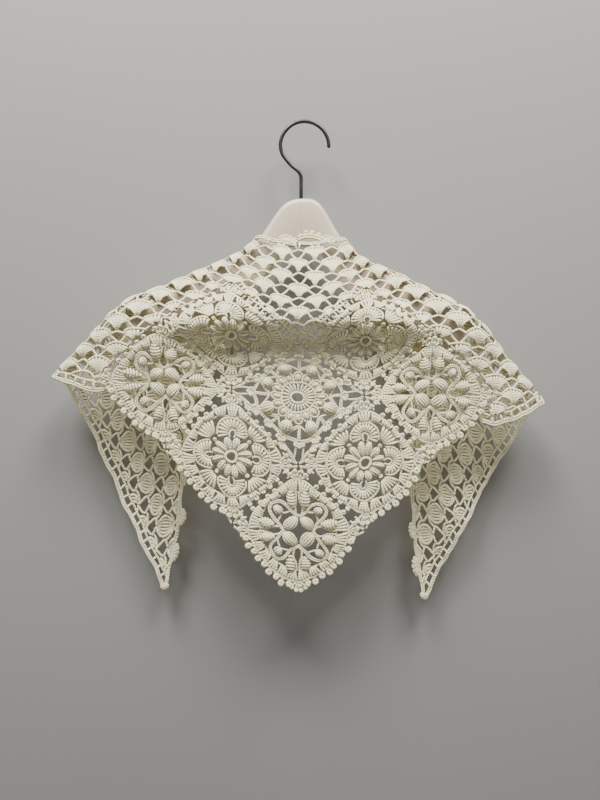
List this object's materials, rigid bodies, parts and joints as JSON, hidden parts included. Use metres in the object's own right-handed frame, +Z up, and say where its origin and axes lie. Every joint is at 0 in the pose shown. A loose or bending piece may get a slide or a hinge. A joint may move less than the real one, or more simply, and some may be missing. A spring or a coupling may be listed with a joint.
{
  "type": "crochet scarf on hanger",
  "caption": "Triangular crochet lace scarf of flower motifs and fan net, draped over a moulded hanger with a wire hook, its long ends folded back behind.",
  "frame": {"origin": "inside of the hook's top, on its centre line, where the hanger rests on a rail", "axes": "+X to the right of someone who faces the scarf, -Y towards them, +Z up"},
  "size_m": [0.5118, 0.0705, 0.5107],
  "materials": {
    "cotton_yarn": "ivory cotton crochet yarn, matt",
    "warm_white_moulding": "warm white moulding, satin",
    "black_wire": "black wire, semi gloss"
  },
  "bodies": {
    "root": {"motif_point": "cotton_yarn", "motif_low_left": "cotton_yarn", "motif_low_right": "cotton_yarn", "motif_middle": "cotton_yarn", "motif_side_left": "cotton_yarn", "motif_side_right": "cotton_yarn", "motif_neck_left": "cotton_yarn", "motif_neck_right": "cotton_yarn", "net_front": "cotton_yarn", "tail_left": "cotton_yarn", "tail_right": "cotton_yarn", "hanger_body": "warm_white_moulding", "hanger_hook": "black_wire"}
  },
  "joints": []
}
